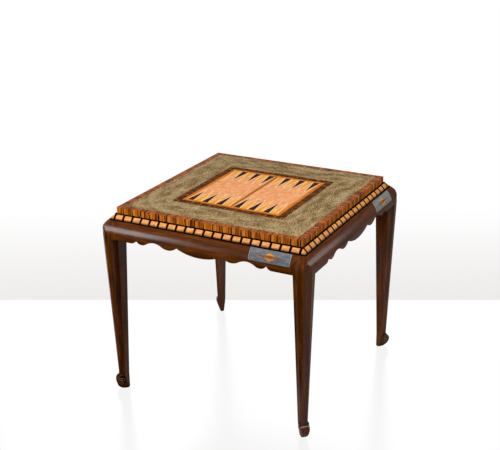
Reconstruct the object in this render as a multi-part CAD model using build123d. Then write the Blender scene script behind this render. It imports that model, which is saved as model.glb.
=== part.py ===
import math
import os

from build123d import *

# Square games table, in millimetres. The origin is on the floor under the middle of the top,
# +Z is up, and the front faces -Y. Pieces are drawn on the front side or at the front right
# corner and turned in quarters about Z, because the table is alike on all four sides.

# Overall sizes
table_height = 762.0
slab_side = 762.0
shoulder_reach = 50.0

# Slab with its veneered face
slab_thickness = 24.0
veneer = 1.0
border_width = 25.0
field_width = 123.5
board_band = 29.0
board_line = 13.0
bar_width = 12.4
points_per_half = 6
point_height_share = 0.672
point_edge = 2.2

# Moulding under the slab: fillet, chequered bead, fillet
upper_fillet_height = 3.5
upper_fillet_reach = 5.5
bead_height = 15.0
bead_head_reach = 6.0
bead_setback = 2.5
bead_crown = 1.2
bead_skin = 3.0
bead_pitches = 20
bead_bar = 7.8
lower_fillet_height = 3.5
lower_fillet_setback = 2.8

# Aprons with a rounded shoulder and a scalloped lower edge
apron_height = 72.3
apron_thickness = 46.0
shoulder_radius = 86.4
shoulder_inset = 25.2
scallop_depth = 23.5
tenon_thickness = 12.0
tenon_length = 22.0
tenon_shoulder = 4.5
tenon_height = 16.0
tenon_setback = 12.0
joint_clearance = 0.2

# Scallop as shares of half the apron's length and of the scallop's depth. The middle lobe is
# at share 0, then come a cusp, a lobe, a crest, a lobe, a cusp and the plain run to the leg.
cusp_share = (0.262, 0.885)
inner_lobe_share = (0.361, 0.294)
inner_turn_share = (0.441, 0.617)
crest_share = (0.530, 1.0)
outer_turn_share = (0.623, 0.566)
outer_lobe_share = (0.681, 0.319)
outer_cusp_share = (0.746, 0.885)
end_lobe_share = (0.764, 0.506)
end_run_share = (0.806, 0.289)

# Legs: canted outer corner with a round head, a hollow down each side, tapered to the ankle
leg_top_width = 71.5
leg_ankle_width = 34.0
leg_taper = 21.0
cant_top = 22.0
cant_ankle = 13.0
face_top = 48.0
face_ankle = 20.0
hollow_depth_top = 18.0
hollow_depth_ankle = 8.0
hollow_radius = 22.0
arch_width = 27.0
arch_drop = 22.0
arch_depth = 14.0

# Scroll foot, drawn in the upright plane through the leg's corner
foot_height = 62.0
foot_width = 31.0
sole_width = 15.0
foot_reach = 13.5
foot_heel_radius = 6.0
foot_toe_setback = 35.0
roll_radius = 19.0
roll_height = 38.0
belly_share = (0.72, 0.27)

# Corner braces behind the legs
brace_height = 17.0
brace_lift = 1.5
brace_thickness = 22.0

# One drawer at the right-hand end of each side
drawer_width = 159.0
drawer_end_gap = 4.5
drawer_front_height = 39.1
drawer_length = 226.0
drawer_side = 9.0
drawer_back_thickness = 9.0
drawer_bottom_thickness = 4.0
drawer_bottom_lift = 2.0
drawer_groove = 3.0
drawer_top_gap = 0.5
drawer_side_gap = 0.6
drawer_head_gap = 1.5
drawer_front_rear = 1.0
finger_slot_length = 70.0
finger_slot_width = 16.0
finger_slot_setback = 5.0

# Guides, runners and stops screwed under the top
guide_thickness = 12.0
runner_reach = 10.0
runner_thickness = 5.0
running_gap = 0.4
guide_leg_gap = 0.5
stop_depth = 6.0
stop_thickness = 12.0
stop_length = 60.0
stop_setback = 40.0
back_stop_depth = 20.0
stop_gap = 0.3

# Glue strips that hold the panel under the slab to the aprons
glue_strip_depth = 14.0
glue_strip_height = 16.0
glue_strip_setback = 32.0
glue_strip_gap = 5.0

# Inlaid plaque on each drawer front
string_width = 1.6

# Motif as shares of the drawer front's width and height
diamond_share = (0.34, 0.69)
lozenge_share = (0.84, 0.24)

# Allowance that carries every cut past the face it opens
overrun = 5.0

# Places that follow from the sizes above
half_slab = slab_side / 2
half_field = half_slab - border_width
half_board = half_field - field_width
half_line = half_board - board_band
half_ground = half_line - board_line
point_height = half_ground * point_height_share
half_overall = half_slab + shoulder_reach
slab_base_z = table_height - slab_thickness
subtop_thickness = upper_fillet_height + bead_height + lower_fillet_height
shoulder_top_z = slab_base_z - subtop_thickness
lobe_z = shoulder_top_z - apron_height
lip_z = lobe_z + end_run_share[1] * scallop_depth
shoulder_rise = math.sqrt(shoulder_radius ** 2 - (shoulder_radius - shoulder_inset) ** 2)
spring_z = shoulder_top_z - shoulder_rise
lower_fillet_edge = half_overall - shoulder_inset - lower_fillet_setback
bead_foot = lower_fillet_edge - bead_setback
bead_head = half_slab + bead_head_reach
leg_inner = half_overall - leg_top_width
apron_inner = half_overall - apron_thickness
drawer_low_z = shoulder_top_z - drawer_top_gap - drawer_front_height
drawer_rear = apron_inner + drawer_front_rear - drawer_length
drawer_centre = leg_inner - drawer_end_gap - drawer_width / 2
quarter_names = ["front", "right", "back", "left"]
corner_names = ["front_right", "back_right", "back_left", "front_left"]


def closed_face(points):
    """Flat face inside a closed run of straight lines through the points."""
    return make_face(Polyline(*points, close=True))


def slab_piece(points, low_z, height):
    """Plan outline raised from low_z by height."""
    outline = [(x, y, low_z) for x, y in points]
    return extrude(closed_face(outline), amount=height, dir=(0, 0, 1))


def block(low, high):
    """Box between two opposite corners."""
    size = [b - a for a, b in zip(low, high)]
    middle = [(a + b) / 2 for a, b in zip(low, high)]
    return Pos(*middle) * Box(*size)


def turned(piece, quarter):
    """The piece moved round the table by whole quarters."""
    return piece.rotate(Axis.Z, 90 * quarter)


def all_round(piece):
    """The same piece on all four sides."""
    return [turned(piece, quarter) for quarter in range(4)]


def mitred_strip(outer, inner, low_z, height):
    """Front strip of a square frame, mitred at both ends."""
    points = [(-outer, -outer), (outer, -outer), (inner, -inner), (-inner, -inner)]
    return slab_piece(points, low_z, height)


def shoulder_bar(x_low, x_high, inner, low_z, high_z, sink=0.0):
    """Length of the front shoulder: an upright face below the spring line and an arc above it."""
    radius = shoulder_radius - sink
    centre = half_overall - shoulder_radius

    def on_arc(z):
        return centre + math.sqrt(radius ** 2 - (z - spring_z) ** 2)

    arc_low = max(low_z, spring_z)
    arc_mid = (arc_low + high_z) / 2
    start = (x_low, -on_arc(arc_low), arc_low)
    finish = (x_low, -on_arc(high_z), high_z)
    edges = [ThreePointArc(start, (x_low, -on_arc(arc_mid), arc_mid), finish)]
    back_low = (x_low, -inner, low_z)
    back_high = (x_low, -inner, high_z)
    edges.append(Line(finish, back_high))
    edges.append(Line(back_high, back_low))
    if low_z < spring_z:
        toe = (x_low, -on_arc(spring_z), low_z)
        edges.append(Line(back_low, toe))
        edges.append(Line(toe, start))
    else:
        edges.append(Line(back_low, start))
    return extrude(make_face(edges), amount=x_high - x_low, dir=(1, 0, 0))


def upright_prism(edges):
    """Outline in the upright plane through the slab's front edge, carried through the front rail."""
    face = make_face(edges)
    outward = extrude(face, amount=half_overall - half_slab + overrun, dir=(0, -1, 0))
    inward = extrude(face, amount=half_slab - leg_inner + overrun, dir=(0, 1, 0))
    return outward + inward


# Slab

def top_core():
    points = [(-half_field, -half_field), (half_field, -half_field),
              (half_field, half_field), (-half_field, half_field)]
    return slab_piece(points, slab_base_z, slab_thickness - veneer)


def edge_lipping():
    return mitred_strip(half_slab, half_field, slab_base_z, slab_thickness)


def veneer_frame(outer, inner):
    """Four mitred strips of veneer round a square."""
    return all_round(mitred_strip(outer, inner, table_height - veneer, veneer))


def point_bases():
    """Left end of each point's base, on both halves of the board."""
    width = (half_ground - bar_width / 2) / points_per_half
    right = [bar_width / 2 + width * index for index in range(points_per_half)]
    left = [-half_ground + width * index for index in range(points_per_half)]
    return width, left + right


def board_ground():
    """The two halves of the playing ground, with a zigzag edge that the points fill."""
    width, bases = point_bases()
    halves = []
    for start in (0, points_per_half):
        near = []
        for x in bases[start:start + points_per_half]:
            near.append((x, -half_ground))
            near.append((x + width / 2, point_height - half_ground))
        near.append((bases[start + points_per_half - 1] + width, -half_ground))
        far = [(x, -y) for x, y in reversed(near)]
        halves.append(slab_piece(near + far, table_height - veneer, veneer))
    return halves


def board_points():
    """Dark points, amber points and the pale lines round them."""
    width, bases = point_bases()
    slant = math.hypot(width / 2, point_height)
    inset = point_edge * slant / point_height
    inner_height = point_height * (width / 2 - inset) / (width / 2)
    dark, amber, lines = [], [], []
    for side in (-1, 1):
        for index, x in enumerate(bases):
            base = side * half_ground
            tip = (x + width / 2, base - side * point_height)
            inner_tip = (x + width / 2, base - side * inner_height)
            inner = [(x + inset, base), (x + width - inset, base), inner_tip]
            border = [(x, base), (x + inset, base), inner_tip,
                      (x + width - inset, base), (x + width, base), tip]
            piece = slab_piece(inner, table_height - veneer, veneer)
            is_dark = index % 2 == (0 if side < 0 else 1)
            (dark if is_dark else amber).append(piece)
            lines.append(slab_piece(border, table_height - veneer, veneer))
    return dark, amber, lines


def board_bar():
    half = bar_width / 2
    return block((-half, -half_ground, table_height - veneer), (half, half_ground, table_height))


# Moulding

def subtop_panel():
    return block((-half_slab, -half_slab, shoulder_top_z), (half_slab, half_slab, slab_base_z))


def bead_length(x_low, x_high, outer, inner):
    """Length of the front bead between two of its layers."""
    front, back = outer(x_low), inner(x_low)
    edges = [front, Line(front @ 1, back @ 1), back, Line(back @ 0, front @ 0)]
    return extrude(make_face(edges), amount=x_high - x_low, dir=(1, 0, 0))


def bead_ends(x, depth):
    """Foot and head of the bead's face at x, sunk by depth."""
    low_z = shoulder_top_z + lower_fillet_height
    return (x, depth - bead_foot, low_z), (x, depth - bead_head, low_z + bead_height)


def bead_face(x):
    """Crowned outer face."""
    foot, head = bead_ends(x, 0)
    lean = bead_foot - bead_head
    chord = math.hypot(lean, bead_height)
    crown_y = (foot[1] + head[1]) / 2 - bead_crown * bead_height / chord
    crown_z = (foot[2] + head[2]) / 2 + bead_crown * lean / chord
    return ThreePointArc(foot, (x, crown_y, crown_z), head)


def bead_flat(x):
    """Flat outer face of the bars, from the same foot to the same head."""
    return Line(*bead_ends(x, 0))


def bead_skin_back(x):
    return Line(*bead_ends(x, bead_skin))


def bead_core_face(x):
    return Line(*bead_ends(x, bead_skin + joint_clearance))


def bead_back(x):
    """Upright face on the panel's edge."""
    foot, head = bead_ends(x, 0)
    return Line((x, -half_slab, foot[2]), (x, -half_slab, head[2]))


def mitre_wedge():
    """The quarter of the plan that belongs to the front side."""
    far = bead_foot + overrun
    return slab_piece([(0, 0), (-far, -far), (far, -far)], shoulder_top_z, subtop_thickness)


def bead_core():
    """Plain strip behind the bead's blocks and bars, mitred at both ends."""
    return bead_length(-bead_foot, bead_foot, bead_core_face, bead_back) & mitre_wedge()


def corner_bead(face):
    """Corner that the front and the right bead share, from the first bar outwards."""
    first = half_slab + bead_bar / 2
    end = bead_foot + overrun
    front = bead_length(first, end, face, bead_back)
    return front & turned(bead_length(-end, -first, face, bead_back), 1)


def bead_pieces():
    """Pale blocks and dark bars of the chequered bead, all round the table."""
    pitch = slab_side / bead_pitches
    blocks, bars = [], []
    for index in range(bead_pitches):
        start = -half_slab + pitch * index + bead_bar / 2
        blocks += all_round(bead_length(start, start + pitch - bead_bar, bead_face, bead_skin_back))
    for index in range(bead_pitches + 1):
        start = -half_slab + pitch * index - bead_bar / 2
        bar = bead_length(start, start + bead_bar, bead_flat, bead_skin_back)
        if index in (0, bead_pitches):
            bar = bar & mitre_wedge()
        bars += all_round(bar)
    blocks += all_round(corner_bead(bead_face) - corner_bead(bead_skin_back))
    return blocks, bars


def fillet_frame(outer, low_z, height):
    return all_round(mitred_strip(outer, half_slab, low_z, height))


# Aprons and legs

def scallop_point(share, side=1):
    return (side * leg_inner * share[0], -half_slab, lobe_z + scallop_depth * share[1])


def scallop_prism():
    """Everything above the scalloped lower edge of the front apron."""
    edges = [ThreePointArc(scallop_point(cusp_share, -1), (0, -half_slab, lobe_z), scallop_point(cusp_share))]
    top_z = shoulder_top_z + overrun
    for side in (-1, 1):
        cusp, lobe, turn = (scallop_point(s, side) for s in (cusp_share, inner_lobe_share, inner_turn_share))
        crest, fall = (scallop_point(s, side) for s in (crest_share, outer_turn_share))
        lobe_out, cusp_out = (scallop_point(s, side) for s in (outer_lobe_share, outer_cusp_share))
        lobe_end, run = (scallop_point(s, side) for s in (end_lobe_share, end_run_share))
        corner = (side * (leg_inner + tenon_length + overrun), -half_slab, lip_z)
        above = (corner[0], -half_slab, top_z)
        edges.append(ThreePointArc(cusp, lobe, turn))
        edges.append(ThreePointArc(turn, crest, fall))
        edges.append(ThreePointArc(fall, lobe_out, cusp_out))
        edges.append(ThreePointArc(cusp_out, lobe_end, run))
        edges.append(Line(run, corner))
        edges.append(Line(corner, above))
    edges.append(Line(above, (-above[0], -half_slab, top_z)))
    return upright_prism(edges)


def tenon(side, clearance=0.0):
    """Stub tenon at one end of the front apron, or its mortise with a clearance."""
    near = -half_overall + tenon_setback
    low = (leg_inner - overrun if clearance else leg_inner, near - clearance,
           lip_z + tenon_shoulder - clearance)
    high = (leg_inner + tenon_length + clearance, near + tenon_thickness + clearance,
            lip_z + tenon_shoulder + tenon_height + clearance)
    piece = block(low, high)
    return piece if side > 0 else piece.mirror(Plane.YZ)


def drawer_opening():
    half = drawer_width / 2 + drawer_side_gap
    low = (drawer_centre - half, -half_overall - overrun, drawer_low_z - running_gap)
    high = (drawer_centre + half, -apron_inner + overrun, shoulder_top_z + overrun)
    return block(low, high)


def apron():
    rail = shoulder_bar(-leg_inner, leg_inner, apron_inner, lobe_z, shoulder_top_z)
    rail = rail & scallop_prism()
    return rail - drawer_opening() + tenon(1) + tenon(-1)


def tapered_block(low, high):
    """Solid with flat sides between two level outlines whose corners match."""
    rims = zip(low, low[1:] + low[:1], high[1:] + high[:1], high)
    faces = [closed_face(low), closed_face(high)] + [closed_face(rim) for rim in rims]
    return Solid(Shell(faces))


def leg_outline(width, corner, cant, z):
    """Plan of the front right leg before its hollows, with the outer corner canted."""
    corners = [(0, cant), (cant, 0), (width, 0), (width, width), (0, width)]
    return [(corner - x, y - corner, z) for x, y in corners]


def hollow_centre(width, corner, start, depth, z):
    """Centre of the hollow in the leg's front face at one height."""
    chord = math.hypot(width - start, depth)
    rise = math.sqrt(hollow_radius ** 2 - chord ** 2 / 4)
    x = (start + width) / 2 + rise * depth / chord
    y = depth / 2 - rise * (width - start) / chord
    return Vector(corner - x, y - corner, z)


def leg_hollow():
    """Round bar that cuts the hollow in the front face, from the apron to the ankle."""
    ankle = half_overall - leg_taper
    low = hollow_centre(leg_ankle_width, ankle, face_ankle, hollow_depth_ankle, foot_height)
    high = hollow_centre(leg_top_width, half_overall, face_top, hollow_depth_top, lip_z)
    length = (high - low).length + 2 * hollow_radius
    return Plane(origin=(low + high) / 2, z_dir=high - low) * Cylinder(hollow_radius, length)


def corner_plane():
    """Upright plane through the table's middle and the front right corner."""
    return Plane(origin=(0, 0, 0), x_dir=(1, -1, 0), z_dir=(-1, -1, 0))


def facing_plane(distance):
    """Upright plane square to that one, at a distance from the table's middle."""
    reach = distance / math.sqrt(2)
    return Plane(origin=(reach, -reach, 0), x_dir=(1, 1, 0), z_dir=(1, -1, 0))


def cant_head():
    """Round-headed end of the canted face, carried up past the spring of the shoulders."""
    half = arch_width / 2
    top_z = shoulder_top_z - arch_drop
    outline = make_face([
        Line((-half, lip_z), (half, lip_z)),
        Line((half, lip_z), (half, top_z - half)),
        ThreePointArc((half, top_z - half), (0, top_z), (-half, top_z - half)),
        Line((-half, top_z - half), (-half, lip_z)),
    ])
    return extrude(facing_plane(math.sqrt(2) * (half_overall - cant_top / 2)) * outline, amount=-arch_depth)


def leg_head():
    """Square block between the aprons, with both shoulders mitred and the outer corner canted."""
    front = shoulder_bar(leg_inner, half_overall, leg_inner, lip_z, shoulder_top_z)
    side = turned(shoulder_bar(-half_overall, -leg_inner, leg_inner, lip_z, shoulder_top_z), 1)
    reach = 2 * half_overall
    beyond = [(half_overall - cant_top, -half_overall), (half_overall, -half_overall + cant_top),
              (reach, -half_overall + cant_top), (reach, -reach), (half_overall - cant_top, -reach)]
    return (front & side - slab_piece(beyond, lip_z, shoulder_top_z - lip_z)) + cant_head()


def scroll_foot():
    """Foot that rolls outward under the canted corner and narrows to the sole."""
    ankle = half_overall - leg_taper
    heel = math.sqrt(2) * (ankle - leg_ankle_width)
    front = math.sqrt(2) * (ankle - cant_ankle / 2)
    tip = front + foot_reach
    toe = tip - foot_toe_setback
    roll = tip - roll_radius
    notch_angle = math.acos((front - roll) / roll_radius)

    def on_roll(angle):
        return (roll + roll_radius * math.cos(angle), roll_height + roll_radius * math.sin(angle))

    belly = (toe + foot_toe_setback * belly_share[0], roll_height * belly_share[1])
    heel_turn = heel + foot_heel_radius
    heel_mid = foot_heel_radius * (1 - math.sqrt(0.5))
    profile = make_face([
        Line((heel, foot_height), (heel, foot_heel_radius)),
        ThreePointArc((heel, foot_heel_radius), (heel + heel_mid, heel_mid), (heel_turn, 0)),
        Line((heel_turn, 0), (toe, 0)),
        ThreePointArc((toe, 0), belly, (tip, roll_height)),
        ThreePointArc((tip, roll_height), on_roll(notch_angle / 2), on_roll(notch_angle)),
        Line(on_roll(notch_angle), (front, foot_height)),
        Line((front, foot_height), (heel, foot_height)),
    ])
    sole, cheek = sole_width / 2, foot_width / 2
    neck = (leg_ankle_width - hollow_depth_ankle) / math.sqrt(2)
    cheeks = closed_face([(-sole, 0), (sole, 0), (cheek, roll_height), (neck, foot_height),
                          (-neck, foot_height), (-cheek, roll_height)])
    inner_side = ankle - leg_ankle_width
    foot = extrude(corner_plane() * profile, amount=neck, both=True)
    foot = foot & extrude(facing_plane(heel) * cheeks, amount=tip - heel)
    return foot & block((inner_side, -half_overall, 0), (half_overall, -inner_side, foot_height))


def leg():
    top = leg_outline(leg_top_width, half_overall, cant_top, lip_z)
    bottom = leg_outline(leg_ankle_width, half_overall - leg_taper, cant_ankle, foot_height)
    shaft = tapered_block(bottom, top) - leg_hollow() - leg_hollow().mirror(corner_plane())
    whole = leg_head() + shaft + scroll_foot()
    whole = whole - tenon(1, joint_clearance)
    return whole - turned(tenon(-1, joint_clearance), 1)


def corner_brace():
    """Bar across the corner between two aprons, notched over the leg."""
    notch = 2 * leg_inner + brace_thickness
    inner = 2 * leg_inner - brace_thickness
    reach = apron_inner
    points = [(notch - reach, -reach), (inner - reach, -reach), (reach, -inner + reach), (reach, -notch + reach)]
    low_z = lip_z + brace_lift
    bar = slab_piece(points, low_z, brace_height)
    seat = leg_inner - joint_clearance
    return bar - block((seat, -reach - overrun, low_z), (reach + overrun, -seat, low_z + brace_height))


# Drawers

def drawer_front():
    half = drawer_width / 2
    low_z = drawer_low_z
    high_z = drawer_low_z + drawer_front_height
    rear = apron_inner + drawer_front_rear
    return shoulder_bar(drawer_centre - half, drawer_centre + half, rear, low_z, high_z, veneer)


def drawer_body_z():
    """Lower and upper edge of the drawer's sides and back."""
    return drawer_low_z, shoulder_top_z - drawer_head_gap


def drawer_bottom_panel(clearance=0.0):
    """Bottom board in the grooves of the sides, or the groove with a clearance."""
    half = drawer_width / 2 - drawer_side + drawer_groove + clearance
    low_z = drawer_low_z + drawer_bottom_lift - clearance
    front = apron_inner + drawer_front_rear
    low = (drawer_centre - half, -front, low_z)
    high = (drawer_centre + half, -drawer_rear, low_z + drawer_bottom_thickness + 2 * clearance)
    return block(low, high)


def finger_slot():
    """Round-ended slot behind the front, for the fingertips that draw it out."""
    front = apron_inner + drawer_front_rear
    y = -front + finger_slot_setback + finger_slot_width / 2
    low_z = drawer_low_z
    height = drawer_bottom_lift + drawer_bottom_thickness + overrun
    plane = Plane.XY.offset(low_z) * Pos(drawer_centre, y)
    return extrude(plane * SlotOverall(finger_slot_length, finger_slot_width), amount=height)


def drawer_sides():
    low_z, high_z = drawer_body_z()
    front = apron_inner + drawer_front_rear
    groove = drawer_bottom_panel(joint_clearance / 2)
    pieces = []
    for side in (-1, 1):
        outer = drawer_centre + side * drawer_width / 2
        inner = outer - side * drawer_side
        low = (min(outer, inner), -front, low_z)
        high = (max(outer, inner), -drawer_rear, high_z)
        pieces.append(block(low, high) - groove)
    return pieces


def drawer_back():
    low_z, high_z = drawer_body_z()
    half = drawer_width / 2 - drawer_side
    floor_z = low_z + drawer_bottom_lift + drawer_bottom_thickness
    low = (drawer_centre - half, -drawer_rear - drawer_back_thickness, floor_z)
    return block(low, (drawer_centre + half, -drawer_rear, high_z))


def plaque_prism(points):
    """Outline on the drawer front, carried through it."""
    mid_z = drawer_low_z + drawer_front_height / 2
    corners = [(drawer_centre + x, -half_slab, mid_z + z) for x, z in points]
    edges = [Line(a, b) for a, b in zip(corners, corners[1:] + corners[:1])]
    return upright_prism(edges)


def diamond(share):
    """Diamond outline in the middle of the drawer front, its width and height as shares of the front's."""
    half_width = drawer_width * share[0] / 2
    half_height = drawer_front_height * share[1] / 2
    return [(-half_width, 0), (0, -half_height), (half_width, 0), (0, half_height)]


def plaque_pieces():
    """Curved veneers on the drawer front: field, edge strings, and a lozenge across a diamond."""
    half = drawer_width / 2
    rear = apron_inner + drawer_front_rear
    high_z = drawer_low_z + drawer_front_height
    whole = shoulder_bar(drawer_centre - half, drawer_centre + half, rear, drawer_low_z, high_z)
    sheet = whole - drawer_front()
    string_half = half - string_width
    string_rise = drawer_front_height / 2 - string_width
    inside = [(-string_half, -string_rise), (string_half, -string_rise),
              (string_half, string_rise), (-string_half, string_rise)]
    field = sheet & plaque_prism(inside)
    strings = sheet - plaque_prism(inside)
    motif = []
    for shape in (lozenge_share, diamond_share):
        cutter = plaque_prism(diamond(shape))
        motif.append(field & cutter)
        field = field - cutter
    return field, strings, motif


# Guides and stops on the underside of the top

def drawer_guides():
    """Two fences beside the drawer and the runners under them. The right-hand pair starts at the leg."""
    pieces = []
    fence_low = drawer_low_z - running_gap
    for side in (-1, 1):
        start = apron_inner if side < 0 else leg_inner - guide_leg_gap
        inner = drawer_centre + side * (drawer_width / 2 + drawer_side_gap)
        outer = inner + side * guide_thickness
        under = inner - side * runner_reach
        fence = ((min(inner, outer), -start, fence_low), (max(inner, outer), -drawer_rear, shoulder_top_z))
        runner = ((min(under, outer), -start, fence_low - runner_thickness),
                  (max(under, outer), -drawer_rear, fence_low))
        pieces += [block(*fence), block(*runner)]
    return pieces


def glue_strip():
    """Strip in the angle of the front apron and the panel, clear of both drawers beside it."""
    end = drawer_centre - drawer_width / 2 - drawer_side_gap - guide_thickness - glue_strip_gap
    low = (glue_strip_setback - leg_inner, -apron_inner, shoulder_top_z - glue_strip_height)
    return block(low, (end, glue_strip_depth - apron_inner, shoulder_top_z))


def drawer_stops():
    """Front stop that holds the drawer in, and the stop that it closes against."""
    half = stop_length / 2
    front_y = -apron_inner + stop_setback
    front = block((drawer_centre - half, front_y, shoulder_top_z - stop_depth),
                  (drawer_centre + half, front_y + stop_thickness, shoulder_top_z))
    back_y = -drawer_rear + stop_gap
    back = block((drawer_centre - half, back_y, shoulder_top_z - back_stop_depth),
                 (drawer_centre + half, back_y + stop_thickness, shoulder_top_z))
    return [front, back]


def drawer_travel():
    """How far a drawer opens before its back meets the front stop."""
    back_face = -drawer_rear - drawer_back_thickness
    stop_face = -apron_inner + stop_setback + stop_thickness
    return back_face - stop_face - joint_clearance


def save(name, pieces):
    solids = []
    for piece in pieces if isinstance(pieces, list) else [pieces]:
        solids += piece.solids()
    whole = Compound(children=solids) if len(solids) > 1 else solids[0]
    whole.label = name
    export_step(whole, f"parts/{name}.step")


def save_all_round(prefix, piece, names):
    for quarter, name in enumerate(names):
        copies = [turned(p, quarter) for p in (piece if isinstance(piece, list) else [piece])]
        save(f"{prefix}_{name}", copies)


def main():
    os.makedirs("parts", exist_ok=True)
    save("top_core", top_core())
    save_all_round("edge_lipping", edge_lipping(), quarter_names)
    save("field_veneer", veneer_frame(half_field, half_board))
    save("board_band", veneer_frame(half_board, half_line))
    save("board_line", veneer_frame(half_line, half_ground))
    save("board_ground", board_ground())
    save("board_bar", board_bar())
    dark, amber, lines = board_points()
    save("points_dark", dark)
    save("points_amber", amber)
    save("points_stringing", lines)

    save("subtop_panel", subtop_panel())
    fillet_z = slab_base_z - upper_fillet_height
    save("upper_fillet", fillet_frame(half_slab + upper_fillet_reach, fillet_z, upper_fillet_height))
    save("lower_fillet", fillet_frame(lower_fillet_edge, shoulder_top_z, lower_fillet_height))
    save("bead_core", all_round(bead_core()))
    blocks, bars = bead_pieces()
    save("bead_blocks", blocks)
    save("bead_bars", bars)

    save_all_round("apron", apron(), quarter_names)
    save_all_round("leg", leg(), corner_names)
    save("corner_braces", all_round(corner_brace()))

    save("glue_strips", all_round(glue_strip()))
    save("drawer_guides", [turned(p, q) for q in range(4) for p in drawer_guides()])
    save("drawer_stops", [turned(p, q) for q in range(4) for p in drawer_stops()])
    save_all_round("drawer_front", drawer_front(), quarter_names)
    save_all_round("drawer_sides", drawer_sides(), quarter_names)
    save_all_round("drawer_back", drawer_back(), quarter_names)
    save_all_round("drawer_bottom", drawer_bottom_panel() - finger_slot(), quarter_names)
    field, strings, motif = plaque_pieces()
    save_all_round("plaque_field", field, quarter_names)
    save_all_round("plaque_strings", strings, quarter_names)
    save_all_round("plaque_motif", motif, quarter_names)
    print("drawer travel", drawer_travel())


main()
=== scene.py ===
import math

import bmesh
import bpy
from mathutils import Matrix, Vector


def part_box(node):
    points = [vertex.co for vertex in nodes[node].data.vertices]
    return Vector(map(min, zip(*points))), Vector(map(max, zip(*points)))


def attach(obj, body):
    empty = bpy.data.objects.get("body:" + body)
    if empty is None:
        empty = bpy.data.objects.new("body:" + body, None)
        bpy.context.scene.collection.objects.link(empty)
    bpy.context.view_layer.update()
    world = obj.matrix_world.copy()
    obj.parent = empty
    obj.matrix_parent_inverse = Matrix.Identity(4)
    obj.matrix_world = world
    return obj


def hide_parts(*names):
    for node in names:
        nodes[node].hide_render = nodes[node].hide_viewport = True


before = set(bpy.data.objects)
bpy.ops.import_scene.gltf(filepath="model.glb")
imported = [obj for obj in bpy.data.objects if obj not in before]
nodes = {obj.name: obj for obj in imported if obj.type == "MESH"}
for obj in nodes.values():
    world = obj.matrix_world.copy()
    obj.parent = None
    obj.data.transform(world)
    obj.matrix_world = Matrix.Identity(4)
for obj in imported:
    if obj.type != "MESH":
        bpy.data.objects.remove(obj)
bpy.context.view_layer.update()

MM = 0.001
SIDES = ("front", "right", "back", "left")
CORNERS = ("front_right", "back_right", "back_left", "front_left")
ALONG = {"front": "X", "right": "Y", "back": "X", "left": "Y"}
ACROSS = {"front": "Y", "right": "X", "back": "Y", "left": "X"}

# Camera: its place in metres, its angles in degrees, and its lens for a 36 mm sensor
CAMERA_PLACE = (1.7081, -3.2134, 2.0291)
CAMERA_AZIMUTH = 28.33
CAMERA_ELEVATION = 21.14
CAMERA_ROLL = -0.89
CAMERA_LENS = 71.85
CAMERA_SENSOR = 36.0

# Studio, in metres and degrees: the line behind the table where the white paper meets painted shade, a grey
# band, how far back the grey fades, where the floor darkens in front, and the sheet that polish mirrors
FLOOR_HALF = 12.0
PAPER_AZIMUTH = 26.27
PAPER_BACK = 0.626
PAPER_FADE = 2.04
DARK_AZIMUTH = -28.1
DARK_EDGE = 0.5
PAPER_POLISH = 0.13
SHEET_DISTANCE = 2.2
SHEET_HALF = 1.8
SHEET_HEIGHT = 2.5

# Strength of the even fill, of the dark room in reflections, and of the backdrop that the camera sees
FILL_STRENGTH = 0.36
ROOM_STRENGTH = 0.12
BACKDROP_STRENGTH = 1.0

# Softboxes, in metres and watts: place, width, height, power, and whether polish mirrors them.
# All of them aim at the table's middle
MIDDLE = (0, 0, 0.6)
SOFTBOXES = {
    "overhead_softbox": ((0.2, -0.9, 3.0), 2.0, 2.0, 33, False),
    "key_softbox": ((1.5, -0.6, 2.9), 1.0, 0.9, 20, True),
    "front_fill": ((-2.4, -1.3, 0.9), 1.2, 1.2, 42, False),
    "front_left_softbox": ((-1.7, -2.3, 1.4), 0.6, 0.8, 10, True),
    "back_right_softbox": ((2.0, 1.75, 0.95), 0.7, 0.6, 2.6, True)}

# Arrises softened by hand before polishing: their widths, the angle over which an edge is one, the
# angle under which two faces are one, and the distance under which points are one
LEG_ARRIS = 0.9 * MM
BLOCK_ARRIS = 0.8 * MM
EDGE_ARRIS = 0.5 * MM
ARRIS_ANGLE = math.radians(24)
FLAT_ANGLE = math.radians(0.6)
MERGE_DISTANCE = 0.01 * MM

# Dark lines: a leg's mitre (a joint line with painted shadow) and notch (painted shade), the ends of the
# bead's blocks (dark filler with painted shade) and their foot (painted shade), and a plaque's long
# strings. Then the slab's top face (painted shade), and how far the joints of its edge waver
MITRE_LINE = 1.0 * MM
ARCH_TOP = 694.5 * MM
NOTCH_HEIGHT = 57.0 * MM
NOTCH_HALF = 3.5 * MM
NOTCH_REACH = 786.0 * MM
BEAD_PITCH = 38.1 * MM
BEAD_FOOT = 719.5 * MM
TABLE_TOP = 762.0 * MM
STRING_RISE = 2.0 * MM
FACE_START = 0.8 * MM
FACE_FULL = 0.3 * MM
JOINT_WAVER = 14.0 * MM
BLOCK_SHADE_HIGH = 6.5 * MM
BLOCK_SHADE_LOW = 1.5 * MM

# How far these places darken: painted shade with a joint line on a leg, dark filler and painted shade on a
# block, darker strings on a plaque, painted shade on the slab's top face; and how far the joints lighten the
# edge's wood
JOINT_AND_SHADE_DARKNESS = 0.85
BLOCK_DARKNESS = 0.8
STRING_DARKNESS = 0.5
FACE_DARKNESS = 0.2
JOINT_CONTRAST = 0.32

# Where dark filler and painted shade start and are darkest on a block, in pitches from the block's middle
FILLER_AND_SHADE_START = 0.35
FILLER_AND_SHADE_FULL = 0.385

# The lozenge's height over its motif's, and the slack round its outline
LOZENGE_SHARE = 0.3478
LOZENGE_SLACK = 1.02

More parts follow.
